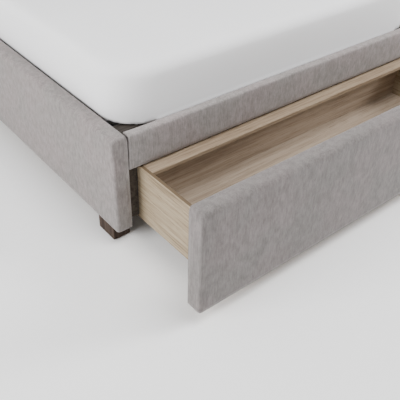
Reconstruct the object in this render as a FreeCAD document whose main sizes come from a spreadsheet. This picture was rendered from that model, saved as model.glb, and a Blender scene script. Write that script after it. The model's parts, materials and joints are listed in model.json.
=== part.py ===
"""Upholstered platform bed with one full-width storage drawer in its foot end.

X runs across the bed, Y from the foot to the head, Z up.  The origin is on the
floor, under the middle centre leg.  The drawer is modelled pulled out.
"""
import FreeCAD, Part
import os
import Sketcher
from FreeCAD import Placement, Rotation, Vector

doc = FreeCAD.newDocument("platform_bed")

# ---------------------------------------------------------------- driving dimensions
SIZES = {
    # mattress and the well it lies in
    "mattress_width": 1524, "mattress_length": 2032, "mattress_thickness": 210,
    "mattress_corner": 105, "mattress_edge": 30,
    "side_gap": 7, "foot_gap": 6, "head_gap": 14, "well_depth": 24, "rest_gap": 0.3,
    # upholstered side panels, foot rail and headboard
    "floor_gap": 62, "panel_height": 370, "panel_thickness": 60, "panel_wrap": 12, "panel_edge": 8,
    "rail_height": 132, "rail_thickness": 36, "rail_wrap": 9, "rail_edge": 8,
    "headboard_height": 1118, "headboard_thickness": 100, "headboard_wrap": 24,
    "headboard_edge": 20,
    # block feet and their glides
    "foot_width": 67, "foot_depth": 97, "foot_inset": 4, "foot_setback": 39, "foot_chamfer": 1.5,
    "glide_radius": 14, "glide_height": 3,
    # slats, ledgers, centre beam and centre legs
    "slat_width": 70, "slat_thickness": 20, "slat_play": 2,
    "ledger_width": 25, "ledger_height": 40,
    "beam_width": 40, "beam_height": 50, "leg_radius": 22, "leg_setback": 90,
    # sheet-metal brackets and their bolts
    "bracket_reach": 50, "bracket_height": 28, "plate": 3, "bracket_drop": 4,
    "bolt_radius": 3, "bolt_head": 6, "bolt_head_height": 3, "bolt_length": 30, "hole_play": 0.2,
    # drawer front and drawer box
    "front_lift": 57, "front_height": 381, "front_thickness": 60, "front_edge": 22,
    "box_inset": 104, "box_lift": 70, "box_height": 220, "box_depth": 440, "box_wall": 15,
    "bottom_thickness": 9, "bottom_recess": 14, "groove_depth": 6,
    "stretcher_width": 82, "stretcher_thickness": 12,
    "stop_width": 60, "stop_height": 36, "stop_gap": 0.5,
    "screw_radius": 2.5, "screw_head": 4.5, "screw_head_height": 1.5,
    # guides beside the drawer
    "guide_height": 212, "guide_lift": 84, "guide_setback": 22, "guide_length": 520,
    "guide_play": 0.9,
    # castors under the drawer box
    "castor_board": 90, "castor_inset": 75, "castor_end": 70,
    "wheel_radius": 25, "wheel_width": 22, "wheel_edge": 4, "axle_radius": 4, "axle_play": 0.05,
    "fork_play": 1, "fork_plate": 2.5, "fork_depth": 34, "fork_base_depth": 60,
    "fork_base_width": 70, "fork_drop": 11,
    # how far screws and bolts bite into the part behind, as lengths or as shares of a size
    "foot_bolt_share": 0.65, "ledger_bite": 15, "front_bite": 20, "castor_bite_share": 0.8,
    # where holes and stops sit, as shares of the part they are in
    "bracket_hole_share": 0.6, "stop_share": 0.6,
    "castor_hole_across": 0.38, "castor_hole_along": 0.34,
}
SLAT_COUNT = 12
LEDGER_SCREWS = 7
FRONT_SCREW_SHARES = (-0.9, -0.45, 0, 0.45, 0.9)
FRONT_SCREW_HEIGHTS = (0.3, 0.8)

sheet = doc.addObject("Spreadsheet::Sheet", "dims")
for row, (alias, value) in enumerate(SIZES.items(), start=1):
    sheet.set(f"A{row}", alias)
    sheet.set(f"B{row}", str(value))
    sheet.setAlias(f"B{row}", alias)
doc.recompute()

# ---------------------------------------------------------------- places worked out from them
HALF_INNER = "(dims.mattress_width / 2 + dims.side_gap)"
HALF_OUTER = f"({HALF_INNER} + dims.panel_thickness)"
SIDE_LENGTH = "(dims.rail_thickness + dims.foot_gap + dims.mattress_length + dims.head_gap)"
FOOT_END = f"(-{SIDE_LENGTH} / 2)"
HEAD_END = f"({SIDE_LENGTH} / 2)"
RAIL_BACK = f"({FOOT_END} + dims.rail_thickness)"
PANEL_TOP = "(dims.floor_gap + dims.panel_height)"
RAIL_BOTTOM = f"({PANEL_TOP} - dims.rail_height)"
SLAT_TOP = f"({PANEL_TOP} - dims.well_depth)"
LEDGER_TOP = f"({SLAT_TOP} - dims.slat_thickness)"

# The drawer opens until the stops on its back meet the back of the foot rail.
DRAWER_OPEN = "(dims.box_depth - dims.box_wall - dims.rail_thickness - dims.stop_gap)"
FRONT_BACK = f"({FOOT_END} - {DRAWER_OPEN})"
HALF_BOX = f"({HALF_OUTER} - dims.box_inset)"
BOX_BACK = f"({FRONT_BACK} + dims.box_depth)"
BOX_TOP = "(dims.box_lift + dims.box_height)"
BOTTOM_UNDER = "(dims.box_lift + dims.bottom_recess)"

pieces = {}


# ---------------------------------------------------------------- helpers
def bind(thing, **sizes):
    """Tie properties of an object to expressions on the sheet."""
    for name, expression in sizes.items():
        thing.setExpression(name, str(expression))
    return thing


def put(thing, x, y, z):
    """Tie an object's place to three expressions."""
    for axis, expression in zip("xyz", (x, y, z)):
        thing.setExpression(f"Placement.Base.{axis}", str(expression))
    return thing


def block(name, size, corner):
    """A rectangular board: its size along X, Y, Z and its lowest corner."""
    board = doc.addObject("Part::Box", name)
    bind(board, Length=size[0], Width=size[1], Height=size[2])
    return put(board, *corner)


TURNS = {
    "x": Rotation(Vector(0, 1, 0), 90),
    "y": Rotation(Vector(1, 0, 0), -90),
    "z": Rotation(),
}


def rod(name, radius, length, start, axis):
    """A round bar that starts at a point and runs along +X, +Y or +Z."""
    bar = doc.addObject("Part::Cylinder", name)
    bar.Placement = Placement(Vector(), TURNS[axis])
    bind(bar, Radius=radius, Height=length)
    return put(bar, *start)


def boolean(kind, name, base, tool):
    """Part::Cut or Part::Fuse of two objects."""
    result = doc.addObject(kind, name)
    result.Base = base
    result.Tool = tool
    return result


def group(name, members):
    """Separate solids kept together as one piece."""
    bundle = doc.addObject("Part::Compound", name)
    bundle.Links = members
    return bundle


def cut_from(names, tool):
    """Take a tool out of each named piece."""
    for name in names:
        pieces[name] = boolean("Part::Cut", f"{name}_cut", pieces[name], tool)


def along(point, axis, shift):
    """A point moved along one axis by an expression."""
    moved = list(point)
    moved["xyz".index(axis)] = f"({moved['xyz'.index(axis)]} + {shift})"
    return moved


def fasteners(name, kind, length, places, into):
    """Headed screws or bolts, and the holes they need.

    Each place is a point under the head, an axis and +1 or -1 for the way the
    shank runs.  kind is "bolt" or "screw".
    """
    radius, head = f"dims.{kind}_radius", f"dims.{kind}_head"
    head_height = f"dims.{kind}_head_height"
    shanks, holes = [], []
    for number, (point, axis, way) in enumerate(places, start=1):
        shank_start = point if way > 0 else along(point, axis, f"-{length}")
        head_start = point if way < 0 else along(point, axis, f"-{head_height}")
        shank = rod(f"{name}_shank_{number}", radius, length, shank_start, axis)
        cap = rod(f"{name}_head_{number}", head, head_height, head_start, axis)
        shanks.append(boolean("Part::Fuse", f"{name}_{number}", shank, cap))
        holes.append(rod(f"{name}_hole_{number}", f"{radius} + dims.hole_play",
                         f"{length} + dims.hole_play", shank_start if way > 0
                         else along(shank_start, axis, "-dims.hole_play"), axis))
    pieces[name] = group(name, shanks)
    cut_from(into, group(f"{name}_holes", holes))


def new_body(name):
    return doc.addObject("PartDesign::Body", name)


def origin_plane(body, role):
    return next(item for item in body.Origin.OriginFeatures if item.Role == role)


def rectangle(body, name, width, depth, inset=None):
    """A rectangle on the body's floor plane, its corner at the origin or inset from it."""
    sketch = body.newObject("Sketcher::SketchObject", name)
    sketch.AttachmentSupport = (origin_plane(body, "XY_Plane"), "")
    sketch.MapMode = "FlatFace"
    corners = [Vector(5, 5), Vector(25, 5), Vector(25, 25), Vector(5, 25)]
    for start, end in zip(corners, corners[1:] + corners[:1]):
        sketch.addGeometry(Part.LineSegment(start, end), False)
    for side in range(4):
        sketch.addConstraint(Sketcher.Constraint("Coincident", side, 2, (side + 1) % 4, 1))
        direction = "Horizontal" if side % 2 == 0 else "Vertical"
        sketch.addConstraint(Sketcher.Constraint(direction, side))
    if inset is None:
        sketch.addConstraint(Sketcher.Constraint("Coincident", 0, 1, -1, 1))
    else:
        for direction in ("DistanceX", "DistanceY"):
            place = sketch.addConstraint(Sketcher.Constraint(direction, -1, 1, 0, 1, 5.0))
            sketch.setExpression(f"Constraints[{place}]", inset)
    across = sketch.addConstraint(Sketcher.Constraint("DistanceX", 0, 1, 0, 2, 20.0))
    deep = sketch.addConstraint(Sketcher.Constraint("DistanceY", 1, 1, 1, 2, 20.0))
    sketch.setExpression(f"Constraints[{across}]", width)
    sketch.setExpression(f"Constraints[{deep}]", depth)
    return sketch


def circle(body, name, radius):
    """A circle about the body's X axis, on its YZ plane."""
    sketch = body.newObject("Sketcher::SketchObject", name)
    sketch.AttachmentSupport = (origin_plane(body, "YZ_Plane"), "")
    sketch.MapMode = "FlatFace"
    sketch.addGeometry(Part.Circle(Vector(), Vector(0, 0, 1), 10), False)
    sketch.addConstraint(Sketcher.Constraint("Coincident", 0, 3, -1, 1))
    size = sketch.addConstraint(Sketcher.Constraint("Radius", 0, 10.0))
    sketch.setExpression(f"Constraints[{size}]", radius)
    return sketch


def extrude(kind, body, name, sketch, length, reverse=False):
    """PartDesign::Pad or PartDesign::Pocket of a sketch."""
    feature = body.newObject(kind, name)
    feature.Profile = sketch
    feature.Reversed = reverse
    bind(feature, Length=length)
    doc.recompute()
    return feature


def soften(kind, body, name, base, chosen, size):
    """PartDesign::Fillet or PartDesign::Chamfer on the edges that a test picks."""
    box = base.Shape.BoundBox
    edges = [f"Edge{number}" for number, edge in enumerate(base.Shape.Edges, start=1)
             if chosen(edge.BoundBox, box)]
    feature = body.newObject(kind, name)
    feature.Base = (base, edges)
    bind(feature, **{"Radius" if kind.endswith("Fillet") else "Size": size})
    doc.recompute()
    return feature


NEAR = 0.01


def off_bottom(edge, box):
    return edge.ZMax > box.ZMin + NEAR


def panel_edges(edge, box):
    """Top edges and foot-end corners of a side panel; its head end is butted."""
    return off_bottom(edge, box) and edge.YMin < box.YMax - NEAR


def rail_edges(edge, box):
    """The two long top edges."""
    return edge.ZMin > box.ZMax - NEAR and edge.XLength > NEAR


def front_edges(edge, box):
    """Every edge of the drawer front but those of its back and underside."""
    return off_bottom(edge, box) and edge.YMin < box.YMax - NEAR


def upholstered(name, size, corner, wrap, radius, chosen):
    """A board core and the padded cover that wraps it, open underneath."""
    width, depth, height = size
    body = new_body(f"{name}_cover")
    outer = extrude("PartDesign::Pad", body, f"{name}_pad",
                    rectangle(body, f"{name}_outline", width, depth), height)
    rounded = soften("PartDesign::Fillet", body, f"{name}_rounding", outer, chosen, radius)
    core_width, core_depth = f"{width} - 2 * {wrap}", f"{depth} - 2 * {wrap}"
    pocket = rectangle(body, f"{name}_core_outline", core_width, core_depth, wrap)
    full = rounded.Shape.Volume
    hollow = extrude("PartDesign::Pocket", body, f"{name}_hollow", pocket,
                     f"{height} - {wrap}", reverse=True)
    assert hollow.Shape.Volume < full, f"{name}: the hollow cut nothing"
    put(body, *corner)
    pieces[f"{name}_cover"] = body
    pieces[f"{name}_core"] = block(f"{name}_core", (core_width, core_depth, f"{height} - {wrap}"),
                                   (f"{corner[0]} + {wrap}", f"{corner[1]} + {wrap}", corner[2]))


SIDES = (("left", -1), ("right", 1))


def from_middle(way, far, width):
    """Lowest X of a piece whose outer face is `far` from the mid-plane."""
    return f"-{far}" if way < 0 else f"({far} - {width})"


# ---------------------------------------------------------------- upholstered frame
for side, way in SIDES:
    upholstered(f"side_panel_{side}", ("dims.panel_thickness", SIDE_LENGTH, "dims.panel_height"),
                (from_middle(way, HALF_OUTER, "dims.panel_thickness"), FOOT_END, "dims.floor_gap"),
                "dims.panel_wrap", "dims.panel_edge", panel_edges)

upholstered("foot_rail", (f"2 * {HALF_INNER}", "dims.rail_thickness", "dims.rail_height"),
            (f"-{HALF_INNER}", FOOT_END, RAIL_BOTTOM), "dims.rail_wrap", "dims.rail_edge",
            rail_edges)

upholstered("headboard", (f"2 * {HALF_OUTER}", "dims.headboard_thickness",
                          "dims.headboard_height"),
            (f"-{HALF_OUTER}", HEAD_END, "dims.floor_gap"), "dims.headboard_wrap",
            "dims.headboard_edge", off_bottom)


# ---------------------------------------------------------------- feet and glides
def block_foot(name, corner):
    body = new_body(name)
    blank = extrude("PartDesign::Pad", body, f"{name}_pad",
                    rectangle(body, f"{name}_outline", "dims.foot_width", "dims.foot_depth"),
                    "dims.floor_gap - dims.glide_height")
    soften("PartDesign::Chamfer", body, f"{name}_arris", blank,
           lambda edge, box: edge.ZMin < box.ZMax - NEAR, "dims.foot_chamfer")
    put(body, *corner)
    pieces[name] = body


glides, foot_bolts, foot_bolt_holes = [], [], []
FOOT_BOLT = "(dims.floor_gap * dims.foot_bolt_share)"
for side, way in SIDES:
    foot_x = from_middle(way, f"({HALF_OUTER} - dims.foot_inset)", "dims.foot_width")
    middle_x = f"({foot_x} + dims.foot_width / 2)"
    front_y = f"({FOOT_END} + dims.foot_setback)"
    rear_y = f"({HEAD_END} + (dims.headboard_thickness - dims.foot_depth) / 2)"
    for end, foot_y in (("front", front_y), ("rear", rear_y)):
        block_foot(f"foot_{end}_{side}", (foot_x, foot_y, "dims.glide_height"))
        middle_y = f"({foot_y} + dims.foot_depth / 2)"
        glides.append(rod(f"glide_{end}_{side}", "dims.glide_radius", "dims.glide_height",
                          (middle_x, middle_y, 0), "z"))
        bolt_start = (middle_x, middle_y, f"dims.floor_gap - {FOOT_BOLT} / 2")
        foot_bolts.append(rod(f"foot_bolt_{end}_{side}", "dims.bolt_radius", FOOT_BOLT,
                              bolt_start, "z"))
        foot_bolt_holes.append(rod(f"foot_bolt_hole_{end}_{side}",
                                   "dims.bolt_radius + dims.hole_play", FOOT_BOLT,
                                   bolt_start, "z"))
pieces["foot_bolts"] = group("foot_bolts", foot_bolts)
cut_from([f"foot_{end}_{side}" for end in ("front", "rear") for side, way in SIDES]
         + [f"side_panel_{side}_core" for side, way in SIDES] + ["headboard_core"],
         group("foot_bolt_holes", foot_bolt_holes))

# ---------------------------------------------------------------- centre beam and legs
BEAM_BOTTOM = f"({LEDGER_TOP} - dims.beam_height)"
BEAM_START = f"({RAIL_BACK} + dims.plate)"
BEAM_LENGTH = f"({HEAD_END} - dims.plate - {BEAM_START})"
pieces["centre_beam"] = block("centre_beam", ("dims.beam_width", BEAM_LENGTH, "dims.beam_height"),
                              ("-dims.beam_width / 2", BEAM_START, BEAM_BOTTOM))

LEG_Y = f"({FOOT_END} + dims.box_depth + dims.leg_setback)"
for place, leg_y in (("foot_end", LEG_Y), ("middle", "0"), ("head_end", f"-{LEG_Y}")):
    pieces[f"centre_leg_{place}"] = rod(
        f"centre_leg_{place}", "dims.leg_radius", f"{BEAM_BOTTOM} - dims.glide_height",
        (0, leg_y, "dims.glide_height"), "z")
    glides.append(rod(f"glide_{place}", "dims.glide_radius", "dims.glide_height",
                      (0, leg_y, 0), "z"))
pieces["glides"] = group("glides", glides)

hangers = []
for end, face_y, seat_y in (("foot", RAIL_BACK, RAIL_BACK),
                            ("head", f"({HEAD_END} - dims.plate)",
                             f"({HEAD_END} - dims.bracket_reach)")):
    back = block(f"hanger_{end}_back", ("dims.beam_width + 2 * dims.plate", "dims.plate",
                                        "dims.beam_height"),
                 ("-dims.beam_width / 2 - dims.plate", face_y, BEAM_BOTTOM))
    seat = block(f"hanger_{end}_seat", ("dims.beam_width + 2 * dims.plate", "dims.bracket_reach",
                                        "dims.plate"),
                 ("-dims.beam_width / 2 - dims.plate", seat_y, f"{BEAM_BOTTOM} - dims.plate"))
    hangers.append(boolean("Part::Fuse", f"hanger_{end}", back, seat))
pieces["beam_hangers"] = group("beam_hangers", hangers)

# ---------------------------------------------------------------- ledgers and slats
LEDGER_START = RAIL_BACK
LEDGER_LENGTH = f"({HEAD_END} - {RAIL_BACK})"
ledger_places = []
for side, way in SIDES:
    pieces[f"ledger_{side}"] = block(
        f"ledger_{side}", ("dims.ledger_width", LEDGER_LENGTH, "dims.ledger_height"),
        (from_middle(way, HALF_INNER, "dims.ledger_width"), LEDGER_START,
         f"{LEDGER_TOP} - dims.ledger_height"))
    face_x = f"({way} * ({HALF_INNER} - dims.ledger_width))"
    for number in range(LEDGER_SCREWS):
        screw_y = f"({LEDGER_START} + {LEDGER_LENGTH} * {number + 0.5} / {LEDGER_SCREWS})"
        point = (face_x, screw_y, f"({LEDGER_TOP} - dims.ledger_height / 2)")
        ledger_places.append((point, "x", way))
fasteners("ledger_screws", "screw", "(dims.ledger_width + dims.panel_wrap + dims.ledger_bite)", ledger_places,
          [f"{part}_{side}{tail}" for side, way in SIDES
           for part, tail in (("ledger", ""), ("side_panel", "_cover"), ("side_panel", "_core"))])

SLAT_PITCH = f"(({LEDGER_LENGTH} - dims.slat_width - 2 * dims.slat_play) / {SLAT_COUNT - 1})"
slats = []
for number in range(SLAT_COUNT):
    slats.append(block(f"slat_{number + 1}",
                       (f"2 * ({HALF_INNER} - dims.slat_play)", "dims.slat_width",
                        "dims.slat_thickness"),
                       (f"-({HALF_INNER} - dims.slat_play)",
                        f"{LEDGER_START} + dims.slat_play + {number} * {SLAT_PITCH}",
                        LEDGER_TOP)))
pieces["slats"] = group("slats", slats)

# ---------------------------------------------------------------- corner brackets
brackets, bracket_places = [], []
BRACKET_TOP = f"({LEDGER_TOP} - dims.ledger_height - dims.bracket_drop)"
BRACKET_BOTTOM = f"({BRACKET_TOP} - dims.bracket_height)"
for side, way in SIDES:
    plate_x = from_middle(way, HALF_INNER, "dims.plate")
    wing_x = from_middle(way, HALF_INNER, "dims.bracket_reach")
    inner_x = f"({way} * ({HALF_INNER} - dims.plate))"
    hole_x = f"({way} * ({HALF_INNER} - dims.bracket_reach * dims.bracket_hole_share))"
    for end, corner_y, turn in (("foot", RAIL_BACK, 1), ("head", HEAD_END, -1)):
        plate_y = corner_y if turn > 0 else f"({corner_y} - dims.bracket_reach)"
        wing_y = corner_y if turn > 0 else f"({corner_y} - dims.plate)"
        along_side = block(f"bracket_{end}_{side}_plate",
                           ("dims.plate", "dims.bracket_reach", "dims.bracket_height"),
                           (plate_x, plate_y, BRACKET_BOTTOM))
        across = block(f"bracket_{end}_{side}_wing",
                       ("dims.bracket_reach", "dims.plate", "dims.bracket_height"),
                       (wing_x, wing_y, BRACKET_BOTTOM))
        brackets.append(boolean("Part::Fuse", f"bracket_{end}_{side}", along_side, across))
        middle_z = f"({BRACKET_BOTTOM} + dims.bracket_height / 2)"
        side_y = f"({corner_y} + {turn} * dims.bracket_reach * dims.bracket_hole_share)"
        bracket_places.append(((inner_x, side_y, middle_z), "x", way))
        bracket_places.append(((hole_x, f"({corner_y} + {turn} * dims.plate)", middle_z),
                               "y", -turn))
pieces["corner_brackets"] = group("corner_brackets", brackets)
fasteners("bracket_bolts", "bolt", "dims.bolt_length", bracket_places,
          ["corner_brackets", "foot_rail_cover", "foot_rail_core", "headboard_cover",
           "headboard_core"]
          + [f"side_panel_{side}_{layer}" for side, way in SIDES for layer in ("cover", "core")])

# ---------------------------------------------------------------- drawer guides
GUIDE_WIDTH = f"({HALF_INNER} - {HALF_BOX} - dims.guide_play)"
for side, way in SIDES:
    pieces[f"drawer_guide_{side}"] = block(
        f"drawer_guide_{side}", (GUIDE_WIDTH, "dims.guide_length", "dims.guide_height"),
        (from_middle(way, HALF_INNER, GUIDE_WIDTH), f"{FOOT_END} + dims.guide_setback",
         "dims.guide_lift"))

# ---------------------------------------------------------------- drawer box
upholstered("drawer_front", (f"2 * {HALF_OUTER}", "dims.front_thickness", "dims.front_height"),
            (f"-{HALF_OUTER}", f"({FRONT_BACK} - dims.front_thickness)", "dims.front_lift"),
            "dims.panel_wrap", "dims.front_edge", front_edges)

BOX_INNER = f"(2 * ({HALF_BOX} - dims.box_wall))"
floor_board = block("drawer_bottom",
                    (f"{BOX_INNER} + 2 * dims.groove_depth",
                     "dims.box_depth - 2 * dims.box_wall + 2 * dims.groove_depth",
                     "dims.bottom_thickness"),
                    (f"-{BOX_INNER} / 2 - dims.groove_depth",
                     f"{FRONT_BACK} + dims.box_wall - dims.groove_depth", BOTTOM_UNDER))
for side, way in SIDES:
    pieces[f"drawer_side_{side}"] = block(
        f"drawer_side_{side}", ("dims.box_wall", "dims.box_depth", "dims.box_height"),
        (from_middle(way, HALF_BOX, "dims.box_wall"), FRONT_BACK, "dims.box_lift"))
for name, wall_y in (("drawer_inner_front", FRONT_BACK),
                     ("drawer_back", f"({BOX_BACK} - dims.box_wall)")):
    pieces[name] = block(name, (BOX_INNER, "dims.box_wall", "dims.box_height"),
                         (f"-{BOX_INNER} / 2", wall_y, "dims.box_lift"))
cut_from(["drawer_side_left", "drawer_side_right", "drawer_inner_front", "drawer_back"], floor_board)
pieces["drawer_bottom"] = floor_board

pieces["drawer_stretcher"] = block(
    "drawer_stretcher", (BOX_INNER, "dims.stretcher_width", "dims.stretcher_thickness"),
    (f"-{BOX_INNER} / 2", f"{BOX_BACK} - dims.box_wall - dims.stretcher_width",
     f"{BOX_TOP} - dims.stretcher_thickness"))

pieces["drawer_stops"] = group("drawer_stops", [
    block(f"drawer_stop_{side}", ("dims.stop_width", "dims.box_wall", "dims.stop_height"),
          (f"{way} * {HALF_BOX} * dims.stop_share - dims.stop_width / 2", f"{BOX_BACK} - dims.box_wall",
           BOX_TOP))
    for side, way in SIDES])

front_places = []
for share in FRONT_SCREW_SHARES:
    for height in FRONT_SCREW_HEIGHTS:
        point = (f"({HALF_BOX} * {share})", f"({FRONT_BACK} + dims.box_wall)",
                 f"(dims.box_lift + dims.box_height * {height})")
        front_places.append((point, "y", -1))
fasteners("front_screws", "screw", "(dims.box_wall + dims.panel_wrap + dims.front_bite)", front_places,
          ["drawer_inner_front", "drawer_front_cover", "drawer_front_core"])

# ---------------------------------------------------------------- castors
for side, way in SIDES:
    pieces[f"castor_board_{side}"] = block(
        f"castor_board_{side}",
        ("dims.castor_board", "dims.box_depth - 2 * dims.box_wall", "dims.bottom_recess"),
        (from_middle(way, f"({HALF_BOX} - dims.castor_inset)", "dims.castor_board"),
         f"{FRONT_BACK} + dims.box_wall", "dims.box_lift"))


def wheel(name, middle_x, middle_y):
    body = new_body(name)
    blank = extrude("PartDesign::Pad", body, f"{name}_pad",
                    circle(body, f"{name}_rim", "dims.wheel_radius"), "dims.wheel_width")
    soften("PartDesign::Fillet", body, f"{name}_tread", blank,
           lambda edge, box: edge.XLength < NEAR, "dims.wheel_edge")
    extrude("PartDesign::Pocket", body, f"{name}_bore",
            circle(body, f"{name}_bore_circle", "dims.axle_radius + dims.axle_play"),
            "dims.wheel_width", reverse=True)
    put(body, f"{middle_x} - dims.wheel_width / 2", middle_y, "dims.wheel_radius")
    pieces[name] = body


FORK_HALF = "(dims.wheel_width / 2 + dims.fork_play + dims.fork_plate)"
axles, castor_places = [], []
for side, way in SIDES:
    middle_x = f"({way} * ({HALF_BOX} - dims.castor_inset - dims.castor_board / 2))"
    for end, middle_y in (("front", f"({FRONT_BACK} + dims.box_wall + dims.castor_end)"),
                          ("rear", f"({BOX_BACK} - dims.box_wall - dims.castor_end)")):
        label = f"{end}_{side}"
        wheel(f"castor_wheel_{label}", middle_x, middle_y)
        plate_under = "(dims.box_lift - dims.fork_plate)"
        fork = block(f"fork_plate_{label}",
                     ("dims.fork_base_width", "dims.fork_base_depth", "dims.fork_plate"),
                     (f"{middle_x} - dims.fork_base_width / 2",
                      f"{middle_y} - dims.fork_base_depth / 2", plate_under))
        for cheek, shift in (("outer", f"-{FORK_HALF}"), ("inner", f"{FORK_HALF} - dims.fork_plate")):
            leaf = block(f"fork_{cheek}_{label}",
                         ("dims.fork_plate", "dims.fork_depth",
                          f"{plate_under} - dims.wheel_radius + dims.fork_drop"),
                         (f"{middle_x} + {shift}", f"{middle_y} - dims.fork_depth / 2",
                          "dims.wheel_radius - dims.fork_drop"))
            fork = boolean("Part::Fuse", f"fork_{label}_{cheek}", fork, leaf)
        axle = rod(f"axle_{label}", "dims.axle_radius", f"2 * {FORK_HALF}",
                   (f"{middle_x} - {FORK_HALF}", middle_y, "dims.wheel_radius"), "x")
        axles.append(axle)
        pieces[f"castor_fork_{label}"] = boolean("Part::Cut", f"fork_bored_{label}", fork, axle)
        for across in (-1, 1):
            for lengthwise in (-1, 1):
                point = (f"({middle_x} + {across} * dims.fork_base_width * dims.castor_hole_across)",
                         f"({middle_y} + {lengthwise} * dims.fork_base_depth * dims.castor_hole_along)",
                         plate_under)
                castor_places.append((point, "z", 1))
pieces["castor_axles"] = group("castor_axles", axles)
CASTOR_SCREW = "(dims.fork_plate + dims.bottom_recess * dims.castor_bite_share)"
fasteners("castor_screws", "screw", CASTOR_SCREW, castor_places,
          [f"castor_fork_{end}_{side}" for end in ("front", "rear") for side, way in SIDES]
          + [f"castor_board_{side}" for side, way in SIDES])

# ---------------------------------------------------------------- mattress
mattress = new_body("mattress")
slab = extrude("PartDesign::Pad", mattress, "mattress_pad",
               rectangle(mattress, "mattress_outline", "dims.mattress_width",
                         "dims.mattress_length"), "dims.mattress_thickness")
cornered = soften("PartDesign::Fillet", mattress, "mattress_corners", slab,
                  lambda edge, box: edge.ZLength > NEAR, "dims.mattress_corner")
soften("PartDesign::Fillet", mattress, "mattress_edges", cornered,
       lambda edge, box: edge.ZLength < NEAR, "dims.mattress_edge")
put(mattress, "-dims.mattress_width / 2", f"{RAIL_BACK} + dims.foot_gap",
    f"{SLAT_TOP} + dims.rest_gap")
pieces["mattress"] = mattress

# ---------------------------------------------------------------- check and write
for name, piece in pieces.items():
    piece.Label = name
doc.recompute()
for thing in doc.Objects:
    if "Invalid" in thing.State or "Error" in thing.State:
        raise RuntimeError(f"{thing.Name} did not build: {thing.State}")
for name, piece in pieces.items():
    if piece.Shape.isNull() or not piece.Shape.isValid():
        raise RuntimeError(f"{name} has no valid shape")

os.makedirs("parts", exist_ok=True)
for name, piece in pieces.items():
    piece.Shape.exportStep(f"parts/{name}.step")
    box = piece.Shape.BoundBox
    print(f"{name}: {len(piece.Shape.Solids)} solid(s), {piece.Shape.Volume / 1e6:.3f} l, "
          f"x {box.XMin:.1f}..{box.XMax:.1f} y {box.YMin:.1f}..{box.YMax:.1f} "
          f"z {box.ZMin:.1f}..{box.ZMax:.1f}")
print(f"{len(pieces)} pieces")
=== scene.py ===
# %% [markdown]
# # An upholstered bed with a drawer in its foot end
#
# The bed is a wooden frame wrapped in thin foam and a short-pile velvet.  A drawer as wide as the
# bed rolls out of its foot end, and a mattress lies in the well.  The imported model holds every
# rigid part at its real size.  This script keeps those parts, gives each a finish, and models
# anew what a plain solid can't stand for: the padded covers, the mattress and the wheels.

# %% Load the frame
import json
import math

import bmesh
import bpy
from mathutils import Matrix, Vector

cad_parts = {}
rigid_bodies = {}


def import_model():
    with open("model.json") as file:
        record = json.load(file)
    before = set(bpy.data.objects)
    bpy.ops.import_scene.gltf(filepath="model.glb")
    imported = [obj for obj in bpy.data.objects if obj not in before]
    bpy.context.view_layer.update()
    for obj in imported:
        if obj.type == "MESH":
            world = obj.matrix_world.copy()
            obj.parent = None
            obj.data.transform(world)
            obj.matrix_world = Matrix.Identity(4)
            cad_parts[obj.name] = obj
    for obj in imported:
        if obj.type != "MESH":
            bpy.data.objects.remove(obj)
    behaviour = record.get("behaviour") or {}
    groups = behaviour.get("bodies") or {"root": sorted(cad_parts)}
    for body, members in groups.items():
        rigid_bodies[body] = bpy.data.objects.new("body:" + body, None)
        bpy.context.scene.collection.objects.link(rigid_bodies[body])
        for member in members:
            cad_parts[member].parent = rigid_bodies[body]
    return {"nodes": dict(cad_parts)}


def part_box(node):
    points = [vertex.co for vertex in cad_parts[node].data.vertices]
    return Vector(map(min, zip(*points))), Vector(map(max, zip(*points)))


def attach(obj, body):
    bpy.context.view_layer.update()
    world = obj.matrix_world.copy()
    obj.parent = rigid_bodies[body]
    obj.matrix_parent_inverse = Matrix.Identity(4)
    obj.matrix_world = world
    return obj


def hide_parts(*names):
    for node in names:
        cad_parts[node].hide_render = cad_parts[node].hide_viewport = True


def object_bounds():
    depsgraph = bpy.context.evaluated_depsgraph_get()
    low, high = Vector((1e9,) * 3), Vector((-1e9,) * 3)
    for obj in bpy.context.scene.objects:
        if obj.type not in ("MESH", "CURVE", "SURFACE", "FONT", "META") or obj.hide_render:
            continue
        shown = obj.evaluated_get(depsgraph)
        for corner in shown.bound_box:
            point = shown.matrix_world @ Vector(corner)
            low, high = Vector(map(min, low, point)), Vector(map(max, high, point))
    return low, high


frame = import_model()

cad_low, cad_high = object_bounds()
nodes = frame["nodes"]
print("size in metres:", [round(side, 3) for side in cad_high - cad_low])

# %% [markdown]
# ## Small helpers for modelling
#
# An operator in Blender acts on whatever is selected, and everything that was just loaded is
# still selected.  So each piece starts with nothing selected, and edges are then picked by
# where they are.  A finished piece keeps its place in its mesh, with its object at the origin.

# %% Helpers
MM = 0.001


def select_nothing():
    bpy.ops.object.select_all(action="DESELECT")


def only(piece):
    """Select one object and make it the active one."""
    select_nothing()
    piece.select_set(True)
    bpy.context.view_layer.objects.active = piece


def freeze(piece):
    """Move an object's place, turn and size into its mesh."""
    only(piece)
    bpy.ops.object.transform_apply(location=True, rotation=True, scale=True)


def board(name, low, high):
    """A cuboid between two corners, to be shaped further."""
    select_nothing()
    bpy.ops.mesh.primitive_cube_add(size=1, location=(low + high) / 2)
    piece = bpy.context.object
    piece.name = piece.data.name = name
    piece.scale = high - low
    freeze(piece)
    return piece


def pick_edges(piece, wanted):
    """In edit mode, select the edges whose two ends pass a test."""
    bpy.ops.mesh.select_mode(type="EDGE")
    bpy.ops.mesh.select_all(action="DESELECT")
    mesh = bmesh.from_edit_mesh(piece.data)
    for edge in mesh.edges:
        edge.select_set(wanted(edge.verts[0].co, edge.verts[1].co))
    bmesh.update_edit_mesh(piece.data)


def runs_along(axis):
    """A test for edges that are parallel to one axis."""
    others = [other for other in range(3) if other != axis]
    return lambda a, b: all(abs(a[other] - b[other]) < 1e-6 for other in others)


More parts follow.
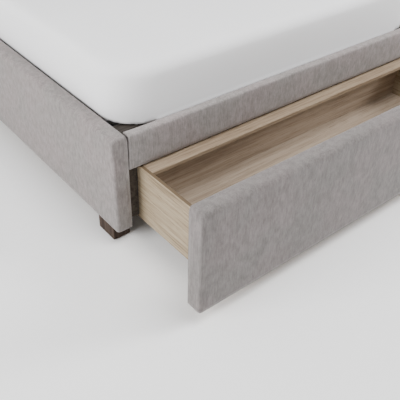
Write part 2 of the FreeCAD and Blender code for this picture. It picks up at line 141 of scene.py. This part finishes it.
def apply_all(piece):
    only(piece)
    for modifier in list(piece.modifiers):
        bpy.ops.object.modifier_apply(modifier=modifier.name)


# %% [markdown]
# ## Padded covers
#
# A cover is thin foam and fabric, pulled over a board and stapled underneath.  Its corners are
# soft.  A plain bevel would look like painted wood, so a cuboid is divided into a grid, its
# edges are rounded, and it is passed through the cloth solver with pressure inside.  A cap
# limits how far each point may move.
#
# The printed moves show what the solver really does here.  It leaves both side panels and the
# drawer front where they are, so their softness comes only from the rounded edges and the
# unevenness below.  It carries the rail, the headboard and the mattress much further than the
# cap, so for those the cap sets how far they stand out, not a balance of pressure and cloth.

# %% A cuboid with a grid on every face, rounded edges and a crisp stapled bottom
ALONG_X, ALONG_Y, ALONG_Z = 0, 1, 2
SHARP = math.radians(40)


def sharp_edges(piece, wanted):
    """Of the edges where the surface turns a corner, select those that pass a test."""
    bpy.ops.mesh.select_mode(type="EDGE")
    bpy.ops.mesh.select_all(action="DESELECT")
    mesh = bmesh.from_edit_mesh(piece.data)
    for edge in mesh.edges:
        turns = edge.calc_face_angle(0) > SHARP
        edge.select_set(turns and wanted(edge.verts[0].co, edge.verts[1].co))
    bmesh.update_edit_mesh(piece.data)


def gridded(name, low, high, cell, length_axis, low_radius, high_radius, end_radius, crisp):
    """A padded board.  Its two long top edges and the outline of its ends are rounded.  On the
    crisp side, 1 for high and -1 for low, the upright end edges stay sharp, as at a seam.
    Edges left sharp are creased, so they stay crisp."""
    piece = board(name, low, high)
    bpy.ops.object.mode_set(mode="EDIT")
    for axis in range(3):
        pick_edges(piece, runs_along(axis))
        bpy.ops.mesh.subdivide(number_cuts=max(1, round((high[axis] - low[axis]) / cell) - 1))
    across = ALONG_Y if length_axis == ALONG_X else ALONG_X

    def above_bottom(a, b):
        return max(a.z, b.z) > low.z + 1e-4

    def in_end(a, b):
        return abs(a[length_axis] - b[length_axis]) < 1e-6 and above_bottom(a, b)

    def is_crisp(a, b):
        seam = {1: high[across], -1: low[across]}.get(crisp)
        return seam is not None and max(abs(a[across] - seam), abs(b[across] - seam)) < 1e-4

    for side, radius in ((low[across], low_radius), (high[across], high_radius)):
        sharp_edges(piece, lambda a, b: runs_along(length_axis)(a, b) and above_bottom(a, b)
                    and abs(a[across] - side) < 1e-4)
        bpy.ops.mesh.bevel(offset=radius, segments=4, profile=0.5, affect="EDGES")
    if end_radius:
        sharp_edges(piece, lambda a, b: in_end(a, b) and not is_crisp(a, b))
        bpy.ops.mesh.bevel(offset=end_radius, segments=3, profile=0.5, affect="EDGES")
    sharp_edges(piece, lambda a, b: True)
    bpy.ops.transform.edge_crease(value=1)
    bpy.ops.object.mode_set(mode="OBJECT")
    print(name, "has", len(piece.data.polygons), "faces before padding")
    return piece


# %% Foam: pressure from inside, with a cap on how far each point moves
def swell(piece, cap, pinned, pressure=4.0, steps=20):
    """Run the cloth solver with pressure inside a closed form.  Pinned points stay put, and
    a point that moved further than the cap is brought back to it, along its own move."""
    starts = [vertex.co.copy() for vertex in piece.data.vertices]
    held = piece.vertex_groups.new(name="stapled")
    held.add([number for number, co in enumerate(starts) if pinned(co)], 1.0, "REPLACE")
    cloth = piece.modifiers.new("foam", "CLOTH")
    cloth.settings.quality = 4
    cloth.settings.mass = 0.25
    cloth.settings.tension_stiffness = cloth.settings.compression_stiffness = 12
    cloth.settings.bending_stiffness = 0.6
    cloth.settings.use_pressure = True
    cloth.settings.uniform_pressure_force = pressure
    cloth.settings.vertex_group_mass = "stapled"
    cloth.settings.effector_weights.gravity = 0
    cloth.point_cache.frame_start, cloth.point_cache.frame_end = 1, steps
    for number in range(1, steps + 1):
        bpy.context.scene.frame_set(number)
    apply_all(piece)
    bpy.context.scene.frame_set(1)
    longest = 0
    for vertex, start in zip(piece.data.vertices, starts):
        move = vertex.co - start
        longest = max(longest, move.length)
        if move.length > cap:
            vertex.co = start + move * (cap / move.length)
    piece.data.update()
    print(piece.name, "moved up to", round(longest / MM, 1), "mm, capped at", round(cap / MM, 1))


# %% Gentle unevenness of foam under fabric
unevenness = bpy.data.textures.new("unevenness", "CLOUDS")
unevenness.noise_scale = 0.16
unevenness.noise_depth = 1


def soften_surface(piece, height, levels=1):
    """Slight hollows and swells, then a smooth finish.  A fine skin needs no subdivision."""
    uneven = piece.modifiers.new("uneven", "DISPLACE")
    uneven.texture = unevenness
    uneven.texture_coords = "LOCAL"
    uneven.mid_level = 0.5
    uneven.strength = height
    apply_all(piece)
    if levels:
        smooth = piece.modifiers.new("smooth", "SUBSURF")
        smooth.levels = smooth.render_levels = levels
    only(piece)
    bpy.ops.object.shade_smooth()


# %% The five covers
SHRINK = 1.5 * MM
FOAM_CAP = 3.0 * MM
CELL = 24 * MM
HEM = 0.5 * MM
COVER_UNEVENNESS = 1.2 * MM


def cover(node, body, length_axis, radii, crisp=0, reach=0.0):
    """A padded cover in the space of its plain solid.  Reach moves its two ends outwards."""
    low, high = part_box(node)
    less = Vector((SHRINK, SHRINK, SHRINK))
    less[length_axis] -= reach
    bottom = low.z
    low, high = low + less, high - less
    low.z = bottom + HEM
    piece = gridded(node.replace("_cover", "_upholstery"), low, high, CELL, length_axis,
                    *(radius * MM for radius in radii), crisp)
    swell(piece, FOAM_CAP, lambda co: co.z < low.z + 1 * MM)
    soften_surface(piece, COVER_UNEVENNESS)
    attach(piece, body)
    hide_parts(node)
    return piece


upholstery = [
    cover("side_panel_left_cover", "frame", ALONG_Y, (16, 10, 9), crisp=1),
    cover("side_panel_right_cover", "frame", ALONG_Y, (10, 16, 9), crisp=-1),
    cover("foot_rail_cover", "frame", ALONG_X, (8, 8, 0)),
    cover("drawer_front_cover", "drawer", ALONG_X, (20, 8, 7.5), crisp=1, reach=6 * MM),
    cover("headboard_cover", "frame", ALONG_X, (22, 22, 16)),
]
print("covers:", [piece.name for piece in upholstery])

# %% [markdown]
# ## The mattress
#
# A thick pad with wide round corners in plan and soft top and bottom edges.  Bevels give the
# form, a voxel remesh turns it into an even skin, and the capped solver shifts that slightly.
# It starts a little wider than its solid, so that it nearly closes the gap beside the panels.

# %% Mattress
CORNER = 148 * MM
TOP_EDGE = 42 * MM
BOTTOM_EDGE = 9 * MM
SKIN_CELL = 13 * MM
MATTRESS_CAP = 3 * MM
MATTRESS_PRESSURE = 3.0
RESTING = 8 * MM
MATTRESS_UNEVENNESS = 1.5 * MM


def make_mattress():
    low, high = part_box("mattress")
    less = Vector((-3, 0, 3)) * MM
    bottom = low.z
    low, high = low + less, high - less
    low.z = bottom + HEM
    piece = board("mattress_pad", low, high)
    bpy.ops.object.mode_set(mode="EDIT")
    pick_edges(piece, runs_along(2))
    bpy.ops.mesh.bevel(offset=CORNER, segments=12, profile=0.5, affect="EDGES")
    pick_edges(piece, lambda a, b: min(a.z, b.z) > high.z - 1e-4)
    bpy.ops.mesh.bevel(offset=TOP_EDGE, segments=6, profile=0.5, affect="EDGES")
    pick_edges(piece, lambda a, b: max(a.z, b.z) < low.z + 1e-4)
    bpy.ops.mesh.bevel(offset=BOTTOM_EDGE, segments=3, profile=0.5, affect="EDGES")
    bpy.ops.object.mode_set(mode="OBJECT")
    skin = piece.modifiers.new("skin", "REMESH")
    skin.mode = "VOXEL"
    skin.voxel_size = SKIN_CELL
    apply_all(piece)
    swell(piece, MATTRESS_CAP, lambda co: co.z < bottom + RESTING,
          pressure=MATTRESS_PRESSURE)
    soften_surface(piece, MATTRESS_UNEVENNESS, levels=0)
    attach(piece, "mattress")
    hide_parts("mattress")
    return piece


mattress = make_mattress()
print("mattress has", len(mattress.data.polygons), "faces")

# %% [markdown]
# ## Castor wheels
#
# Each wheel is a hard hub with a soft tread.  A cylinder is turned into one by insetting its
# end faces, pushing the web between rim and hub inwards, and rounding the tread.  One wheel is
# modelled and the other three are copies, each with its own mesh.

# %% One wheel
WHEEL_SIDES = 48
TREAD_EDGE = 4 * MM
# Each step of an end face, in wheel radii: how far it is inset, and how far it then moves out.
RIM, DISH, WEB, HUB = (0.16, 0.0), (0.05, -0.18), (0.34, 0.0), (0.03, 0.12)


def wheel(name, node):
    """A wheel around the origin, of the size of one of the castor wheels."""
    low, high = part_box(node)
    radius, width = (high.z - low.z) / 2, high.x - low.x
    select_nothing()
    bpy.ops.mesh.primitive_cylinder_add(vertices=WHEEL_SIDES, radius=radius, depth=width,
                                        rotation=(0, math.pi / 2, 0))
    piece = bpy.context.object
    piece.name = piece.data.name = name
    freeze(piece)
    bpy.ops.object.mode_set(mode="EDIT")
    bpy.ops.mesh.select_mode(type="FACE")
    for thickness, depth in (RIM, DISH, WEB, HUB):
        bpy.ops.mesh.select_all(action="DESELECT")
        mesh = bmesh.from_edit_mesh(piece.data)
        for face in mesh.faces:
            face.select_set(len(face.verts) == WHEEL_SIDES)
        bmesh.update_edit_mesh(piece.data)
        bpy.ops.mesh.inset(thickness=thickness * radius, depth=depth * radius,
                           use_individual=True)
    pick_edges(piece, lambda a, b: min(a.yz.length, b.yz.length) > radius - 1e-5
               and abs(a.x - b.x) < 1e-6)
    bpy.ops.mesh.bevel(offset=TREAD_EDGE, segments=4, affect="EDGES")
    bpy.ops.object.mode_set(mode="OBJECT")
    bpy.ops.object.shade_smooth_by_angle(angle=math.radians(35))
    return piece


# %% Four wheels
first_wheel = wheel("wheel_blank", "castor_wheel_front_left")
for end in ("front", "rear"):
    for side in ("left", "right"):
        low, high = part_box(f"castor_wheel_{end}_{side}")
        copy = first_wheel.copy()
        copy.data = first_wheel.data.copy()
        copy.name = copy.data.name = f"rolling_wheel_{end}_{side}"
        copy.location = (low + high) / 2
        bpy.context.scene.collection.objects.link(copy)
        freeze(copy)
        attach(copy, f"wheel_{end}_{side}")
        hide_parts(f"castor_wheel_{end}_{side}")
bpy.data.objects.remove(first_wheel)
wheels = [piece for piece in bpy.data.objects if piece.name.startswith("rolling_wheel_")]
print("wheels:", [piece.name for piece in wheels])

# %% [markdown]
# ## Writing finishes as sums
#
# A finish is a small graph of nodes.  Wiring each Math node by hand hides what is worked out, so
# `Signal` wraps a socket and lets Python's operators add the nodes.  `Finish.node` makes every
# other node: its settings first, then the values or links of its sockets.

# %% Signal
class Signal:
    """A number, colour or vector that varies over the surface."""

    def __init__(self, finish, socket):
        self.finish, self.socket = finish, socket

    def math(self, operation, first, second):
        return self.finish.node("ShaderNodeMath", {"operation": operation}, {0: first, 1: second})

    def __add__(self, other):
        return self.math("ADD", self, other)

    def __rsub__(self, other):
        return self.math("SUBTRACT", other, self)

    def __mul__(self, other):
        return self.math("MULTIPLY", self, other)

    __radd__, __rmul__ = __add__, __mul__


# %% Finish
class Finish:
    """One material, built from nodes."""

    def __init__(self, name, **constants):
        self.material = bpy.data.materials.new(name)
        self.material.use_nodes = True
        self.tree = self.material.node_tree
        self.shader = self.tree.nodes["Principled BSDF"]
        for socket, value in constants.items():
            self.shader.inputs[socket.replace("_", " ")].default_value = value

    def node(self, kind, settings=None, inputs=None, output=0):
        made = self.tree.nodes.new(kind)
        for name, value in (settings or {}).items():
            if name == "stops":
                for number, (place, colour) in enumerate(value):
                    ramp = made.color_ramp.elements
                    stop = ramp[number] if number < 2 else ramp.new(place)
                    stop.position, stop.color = place, (*colour, 1)
            else:
                setattr(made, name, value)
        for socket, value in (inputs or {}).items():
            if isinstance(value, Signal):
                self.tree.links.new(value.socket, made.inputs[socket])
            else:
                made.inputs[socket].default_value = value
        return Signal(self, made.outputs[output])

    def place(self, scale=(1, 1, 1)):
        """Object coordinates in metres, stretched or packed along each axis."""
        here = self.node("ShaderNodeTexCoord", output="Object")
        return self.node("ShaderNodeMapping", None, {"Vector": here, "Scale": scale})

    def along(self, axis):
        """How far along one axis a point lies, in metres."""
        return self.node("ShaderNodeSeparateXYZ", None, {0: self.place()}, output=axis)

    def noise(self, vector, scale=1.0, detail=2.0, rough=0.5):
        return self.node("ShaderNodeTexNoise", None, {"Vector": vector, "Scale": scale,
                                                      "Detail": detail, "Roughness": rough})

    def between(self, value, low, high):
        """Stretch a noise so that low becomes 0 and high becomes 1, with a smooth step."""
        return self.node("ShaderNodeMapRange", {"interpolation_type": "SMOOTHSTEP"},
                         {"Value": value, "From Min": low, "From Max": high})

    def blend(self, share, first, second):
        """A colour that goes from first to second as share goes from 0 to 1."""
        colours = {}
        for socket, colour in ((6, first), (7, second)):
            colours[socket] = colour if isinstance(colour, Signal) else (*colour, 1)
        return self.node("ShaderNodeMix", {"data_type": "RGBA"}, {0: share, **colours}, output=2)

    def bump(self, height, distance, strength=1.0):
        return self.node("ShaderNodeBump", None, {"Height": height, "Distance": distance,
                                                  "Strength": strength})

    def feed(self, **signals):
        """Link signals to the shader's sockets."""
        for socket, signal in signals.items():
            self.tree.links.new(signal.socket, self.shader.inputs[socket.replace("_", " ")])
        return self.material


def paint(piece, material):
    """Give a piece one material."""
    piece.data.materials.clear()
    piece.data.materials.append(material)


# %% [markdown]
# ## Velvet
#
# The cover is a short-pile chenille velvet in a light warm grey.  Its pile leans in slightly
# different directions, which shows as soft upright streaks a few millimetres wide, inside
# larger cloudy patches that turn from warm to cool.  The streaks are a noise that is packed
# across and stretched upwards.  Sheen gives the pale glow along edges seen at a low angle.
# Each cover's colour is also scaled by its own factor, as painted light and shade: the drawer front
# is painted darker than the panels, and the rail above it lighter.

# %% Velvet
def velvet(name, painted_light_factor):
    """The factor scales the whole colour: below 1 it is painted shade, above 1 painted light."""
    def with_painted_light(*colour):
        return tuple(painted_light_factor * part for part in colour)

    cloth = Finish(name, Roughness=0.9, Sheen_Weight=0.36, Sheen_Roughness=0.35,
                   Sheen_Tint=(0.96, 0.93, 0.91, 1), Specular_IOR_Level=0.15)
    patches = cloth.between(cloth.noise(cloth.place(), scale=7.0, detail=2.0), 0.36, 0.64)
    brushed = cloth.between(cloth.noise(cloth.place((58, 58, 34)), detail=5.0, rough=0.7),
                            0.33, 0.67)
    streaks = cloth.noise(cloth.place((250, 250, 32)), detail=3.0, rough=0.66)
    fibres = cloth.noise(cloth.place((900, 900, 420)), detail=2.0, rough=0.7)
    pile = cloth.between(streaks * 0.7 + fibres * 0.3, 0.35, 0.65)
    nap = pile * 0.55 + brushed * 0.45
    warm = cloth.blend(nap, with_painted_light(0.166, 0.145, 0.140), with_painted_light(0.296, 0.263, 0.257))
    cool = cloth.blend(nap, with_painted_light(0.155, 0.142, 0.136), with_painted_light(0.278, 0.257, 0.247))
    colour = cloth.blend(patches, warm, cool)
    height = streaks * 0.45 + fibres * 0.35 + brushed * 0.2
    return cloth.feed(Base_Color=colour, Roughness=0.98 - nap * 0.16,
                      Normal=cloth.bump(height, 0.7 * MM, 0.75))


# Painted light and shade per cover: the drawer front is painted darker and the rail lighter than
# the panels.
PAINTED_LIGHT_AND_SHADE = {"side_panel_left_upholstery": 1.0, "side_panel_right_upholstery": 1.0,
       "foot_rail_upholstery": 1.2, "drawer_front_upholstery": 0.82,
       "headboard_upholstery": 1.0}
for piece in upholstery:
    paint(piece, velvet("velvet_" + piece.name, PAINTED_LIGHT_AND_SHADE[piece.name]))
print("velvet on", len(upholstery), "covers")


# %% [markdown]
# ## Mattress cloth
#
# A smooth, stretchy white knit.  It is nearly plain, so its finish is a fine knit of rows that
# only shows close up, and a faint warm to cool drift.

# %% Mattress cloth
def knit():
    cloth = Finish("white_knit", Roughness=0.75, Sheen_Weight=0.15, Sheen_Roughness=0.5)
    drift = cloth.noise(cloth.place(), scale=3.0)
    loops = cloth.noise(cloth.place((420, 420, 700)), detail=1.0)
    colour = cloth.blend(drift, (0.86, 0.86, 0.87), (0.91, 0.91, 0.92))
    return cloth.feed(Base_Color=colour, Roughness=0.7 + loops * 0.15,
                      Normal=cloth.bump(loops, 0.4 * MM, 0.5))


paint(mattress, knit())
print("mattress cloth:", mattress.data.materials[0].name)


# %% [markdown]
# ## Wood
#
# Every board is cut along its grain, so a wood finish takes the direction of the grain and
# packs its noise across it.  Broad bands give the figure, fine lines give the pores, and the
# two together drive colour, roughness and a shallow bump.

# %% Wood
# Painted shade on the drawer sides' upper faces, and the width of the pale outer line left unshaded
# as a highlight.
PAINTED_SHADE_STARTS, PAINTED_SHADE_FULL = 1.2 * MM, 0.4 * MM
HIGHLIGHT_LINE_WIDTH, HIGHLIGHT_LINE_FADES = 3 * MM, 4 * MM


def wood(name, grain, dark, mid, light, bands=130.0, pores=460.0, rough=0.55, shine=0.4,
         contrast=(0.30, 0.70), top=None):
    """Grain is the axis the board was cut along.  Top gives the height of a board's upper face and
    how far its outer face lies from the middle; that upper face is painted in shade, all but its
    outermost few millimetres, which keep the wood's colour and read as a highlight line."""
    timber = Finish(name, Roughness=rough, Specular_IOR_Level=shine)
    across = [1.0, 1.0, 1.0]
    across[grain] = 0.03
    drift = timber.noise(timber.place(), scale=1.7, detail=1.0)
    figure = timber.noise(timber.place([bands * share for share in across]), detail=4.0,
                          rough=0.62)
    lines = timber.noise(timber.place([pores * share for share in across]), detail=2.0,
                         rough=0.7)
    tone = timber.between(figure * 0.7 + lines * 0.3 + drift * 0.12, contrast[0], contrast[1])
    colour = timber.node("ShaderNodeValToRGB", {"stops": [(0.0, dark), (1.0, light),
                                                          (0.52, mid)]}, {0: tone})
    pore = timber.between(lines, 0.28, 0.42)
    colour = timber.blend(pore, dark, colour)
    # Painted shade on the upper face; its outermost few millimetres keep the wood's colour as a
    # highlight line.
    if top:
        height, outermost = top
        from_middle = timber.node("ShaderNodeMath", {"operation": "ABSOLUTE"},
                                  {0: timber.along("X")})
        edge = timber.between(timber.along("Z"), height - PAINTED_SHADE_STARTS,
                              height - PAINTED_SHADE_FULL)
        shaded_inward = timber.between(from_middle, outermost - HIGHLIGHT_LINE_WIDTH,
                               outermost - HIGHLIGHT_LINE_FADES)
        colour = timber.blend(edge * shaded_inward, colour, [share * 0.8 for share in dark])
    return timber.feed(Base_Color=colour,
                       Roughness=rough + 0.15 - tone * 0.12,
                       Normal=timber.bump(lines * 0.6 + figure * 0.4, 0.25 * MM, 0.6))


# %% The woods of this bed
OAK = {"dark": (0.142, 0.096, 0.054), "mid": (0.268, 0.202, 0.125),
       "light": (0.385, 0.31, 0.21)}
SHELF_OAK = {"dark": (0.135, 0.090, 0.054), "mid": (0.238, 0.172, 0.112),
             "light": (0.33, 0.252, 0.175)}
INNER_OAK = {"dark": (0.185, 0.133, 0.092), "mid": (0.292, 0.225, 0.164),
             "light": (0.385, 0.308, 0.235)}
PINE = {"dark": (0.43, 0.29, 0.15), "mid": (0.56, 0.41, 0.235), "light": (0.66, 0.52, 0.33)}
CHARCOAL = {"dark": (0.010, 0.008, 0.007), "mid": (0.028, 0.023, 0.019),
            "light": (0.052, 0.044, 0.037)}
ESPRESSO = {"dark": (0.012, 0.008, 0.006), "mid": (0.033, 0.021, 0.015),
            "light": (0.062, 0.041, 0.030)}
# The drawer guides are real parts; their near-black colour is painted shade for the hollow between
# side panel and drawer side.
GUIDE_PAINTED_SHADE = {"dark": (0.020, 0.016, 0.013), "mid": (0.044, 0.036, 0.029),
             "light": (0.074, 0.061, 0.050)}

box_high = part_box("drawer_side_right")[1]
# The drawer sides get painted shade on their upper faces, except a pale outer line.
oak_along_y = wood("oak_along_y", ALONG_Y, **OAK, top=(box_high.z, box_high.x))
oak_along_x = wood("oak_along_x", ALONG_X, **SHELF_OAK)
inner_oak = wood("inner_oak", ALONG_X, **INNER_OAK, bands=60)
oak_upright = wood("oak_upright", ALONG_Z, **OAK)
charcoal_along_x = wood("charcoal_along_x", ALONG_X, **CHARCOAL, bands=50, shine=0.2)
charcoal_along_y = wood("charcoal_along_y", ALONG_Y, **CHARCOAL, bands=50, shine=0.2)
pine_upright = wood("pine_upright", ALONG_Z, **PINE, bands=50)
espresso = wood("espresso", ALONG_Z, **ESPRESSO, bands=110, pores=600, rough=0.6, shine=0.15)
black_wax = wood("black_wax", ALONG_Y, **GUIDE_PAINTED_SHADE, bands=80, pores=500, shine=0.2)
print("drawer sides end", round(box_high.x / MM), "mm from the middle of the bed")


# %% [markdown]
# ## Board, metal, rubber and plastic
#
# Particle board shows flakes where it is bare.  Zinc-plated steel is a metal with fine scratches
# and cloudy patches.  The brackets are powder coated, which gives a fine orange peel.  Rubber
# and nylon are dark and matt, with a little dust in patches.

# %% Particle board
def particle_board():
    panel = Finish("particle_board", Roughness=0.85)
    flakes = panel.node("ShaderNodeTexVoronoi", None,
                        {"Vector": panel.place((260, 260, 600)), "Scale": 1.0}, output="Color")
    shade = panel.node("ShaderNodeRGBToBW", None, {0: flakes})
    colour = panel.blend(shade, (0.30, 0.20, 0.11), (0.55, 0.42, 0.27))
    return panel.feed(Base_Color=colour, Roughness=0.75 + shade * 0.2,
                      Normal=panel.bump(shade, 0.3 * MM, 0.5))


# %% Metals
def zinc():
    steel = Finish("zinc_plate", Metallic=1.0, Roughness=0.35)
    clouds = steel.noise(steel.place((60, 60, 60)), detail=3.0)
    scratches = steel.noise(steel.place((2400, 160, 160)), detail=2.0)
    colour = steel.blend(clouds, (0.50, 0.50, 0.49), (0.72, 0.71, 0.67))
    return steel.feed(Base_Color=colour, Roughness=0.24 + clouds * 0.2 + scratches * 0.1,
                      Normal=steel.bump(scratches, 0.05 * MM, 0.4))


def powder_coat():
    coat = Finish("powder_coat", Roughness=0.5)
    peel = coat.noise(coat.place((900, 900, 900)), detail=1.0)
    colour = coat.blend(peel, (0.012, 0.012, 0.012), (0.026, 0.026, 0.026))
    return coat.feed(Base_Color=colour, Roughness=0.42 + peel * 0.18,
                     Normal=coat.bump(peel, 0.12 * MM, 0.6))


# %% Rubber and nylon
def matt(name, dark, light, grain):
    stuff = Finish(name, Roughness=0.7)
    speckle = stuff.noise(stuff.place((grain, grain, grain)), detail=2.0)
    dust = stuff.noise(stuff.place((45, 45, 45)), detail=3.0)
    colour = stuff.blend(stuff.between(dust, 0.45, 0.75), dark, light)
    return stuff.feed(Base_Color=colour, Roughness=0.55 + speckle * 0.3,
                      Normal=stuff.bump(speckle, 0.1 * MM, 0.5))


board_finish = particle_board()
zinc_finish = zinc()
coat_finish = powder_coat()
rubber = matt("tread_rubber", (0.030, 0.030, 0.031), (0.075, 0.073, 0.070), 700)
nylon = matt("glide_nylon", (0.014, 0.014, 0.015), (0.035, 0.034, 0.033), 1200)

# %% Which finish each rigid part takes
FINISHES = {
    "side_panel_left_core": board_finish, "side_panel_right_core": board_finish,
    "foot_rail_core": board_finish, "headboard_core": board_finish,
    "drawer_front_core": board_finish,
    "foot_front_left": espresso, "foot_front_right": espresso,
    "foot_rear_left": espresso, "foot_rear_right": espresso,
    "glides": nylon, "foot_bolts": zinc_finish, "centre_beam": charcoal_along_y,
    "centre_leg_foot_end": pine_upright, "centre_leg_middle": pine_upright,
    "centre_leg_head_end": pine_upright, "beam_hangers": coat_finish,
    "corner_brackets": coat_finish, "bracket_bolts": zinc_finish,
    "ledger_left": charcoal_along_y, "ledger_right": charcoal_along_y, "ledger_screws": zinc_finish,
    "slats": charcoal_along_x, "drawer_guide_left": black_wax, "drawer_guide_right": black_wax,
    "drawer_side_left": oak_along_y, "drawer_side_right": oak_along_y,
    "drawer_inner_front": inner_oak, "drawer_back": inner_oak, "drawer_bottom": inner_oak,
    "drawer_stretcher": oak_along_x, "drawer_stops": oak_upright,
    "front_screws": zinc_finish, "castor_board_left": oak_along_y,
    "castor_board_right": oak_along_y, "castor_axles": zinc_finish,
    "castor_screws": zinc_finish,
}
for end in ("front", "rear"):
    for side in ("left", "right"):
        FINISHES[f"castor_fork_{end}_{side}"] = zinc_finish
for name, material in FINISHES.items():
    paint(nodes[name], material)
for piece in wheels:
    paint(piece, rubber)
bare = [name for name, node in nodes.items() if not node.hide_render and name not in FINISHES]
print("parts without a finish:", bare)

# %% [markdown]
# ## Studio
#
# A white floor, and pale walls all round that are dimmer in front of the foot end.  One large
# soft light stands on the left, level with the foot end, and lights the side panels.  A second
# stands to the right of the drawer, and a third hangs above the foot end.  The drawer front
# faces the dim wall, so its top and its end read brighter than its face, as they do on a real
# velvet edge.

# %% Floor
select_nothing()
bpy.ops.mesh.primitive_plane_add(size=40)
floor = bpy.context.object
floor.name = "studio_floor"


def floor_paint():
    paint_coat = Finish("studio_white", Roughness=0.9, Specular_IOR_Level=0.1)
    speckle = paint_coat.noise(paint_coat.place((30, 30, 30)))
    colour = paint_coat.blend(speckle, (0.93, 0.93, 0.93), (0.95, 0.95, 0.95))
    return paint_coat.feed(Base_Color=colour)


paint(floor, floor_paint())

# %% Walls
FRONT_WALL, BACK_WALL = 0.12, 1.2
surround = bpy.data.worlds.new("surround")
surround.use_nodes = True
walls = surround.node_tree
direction = walls.nodes.new("ShaderNodeTexCoord")
parts = walls.nodes.new("ShaderNodeSeparateXYZ")
brightness = walls.nodes.new("ShaderNodeMapRange")
for socket, value in (("From Min", -1), ("To Min", FRONT_WALL), ("To Max", BACK_WALL)):
    brightness.inputs[socket].default_value = value
walls.links.new(direction.outputs["Generated"], parts.inputs[0])
walls.links.new(parts.outputs["Y"], brightness.inputs["Value"])
walls.links.new(brightness.outputs[0], walls.nodes["Background"].inputs["Strength"])
walls.nodes["Background"].inputs["Color"].default_value = (1, 1, 1, 1)
bpy.context.scene.world = surround


# %% Lights
KEY_POWER, FILL_POWER, OVERHEAD_POWER = 290, 195, 130


def soft_light(name, place, target, size, power):
    light = bpy.data.lights.new(name, "AREA")
    light.shape = "SQUARE"
    light.size = size
    light.energy = power
    lamp = bpy.data.objects.new(name, light)
    lamp.location = place
    lamp.rotation_euler = (Vector(target) - Vector(place)).to_track_quat("-Z", "Y").to_euler()
    bpy.context.scene.collection.objects.link(lamp)
    print(name, "light of", power, "W")


foot_corner = Vector((cad_low.x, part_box("side_panel_left_cover")[0].y, 0))
soft_light("key", foot_corner + Vector((-4.2, 0.3, 2.3)), foot_corner, 2.4, KEY_POWER)
soft_light("fill", foot_corner + Vector((4.4, -2.2, 2.9)), foot_corner + Vector((1.4, 0, 0)),
           1.5, FILL_POWER)
soft_light("overhead", foot_corner + Vector((0.9, -1.3, 4.2)), foot_corner + Vector((0.4, 0, 0)),
           1.6, OVERHEAD_POWER)

# %% [markdown]
# ## Camera
#
# The camera stands outside the foot end on the drawer's left and looks down at the corner.
# Its turn is written as three angles, which are easier to read than a matrix.

# %% Camera
AZIMUTH, ELEVATION, ROLL = math.radians(39.81), math.radians(38.03), math.radians(1.56)
LENS = 55.28
STAND = Vector((-0.7972, -1.3866, 1.4498))

forward = Vector((math.sin(AZIMUTH) * math.cos(ELEVATION),
                  math.cos(AZIMUTH) * math.cos(ELEVATION), -math.sin(ELEVATION)))
level = Vector((math.cos(AZIMUTH), -math.sin(AZIMUTH), 0))
upright = level.cross(forward)
right = math.cos(ROLL) * level + math.sin(ROLL) * upright
above = math.cos(ROLL) * upright - math.sin(ROLL) * level
camera_data = bpy.data.cameras.new("camera")
camera_data.lens = LENS
camera = bpy.data.objects.new("camera", camera_data)
turn = Matrix((right, above, -forward)).transposed().to_4x4()
camera.matrix_world = Matrix.Translation(foot_corner + STAND) @ turn
bpy.context.scene.collection.objects.link(camera)
bpy.context.scene.camera = camera
print("camera at", [round(value, 3) for value in camera.matrix_world.translation])
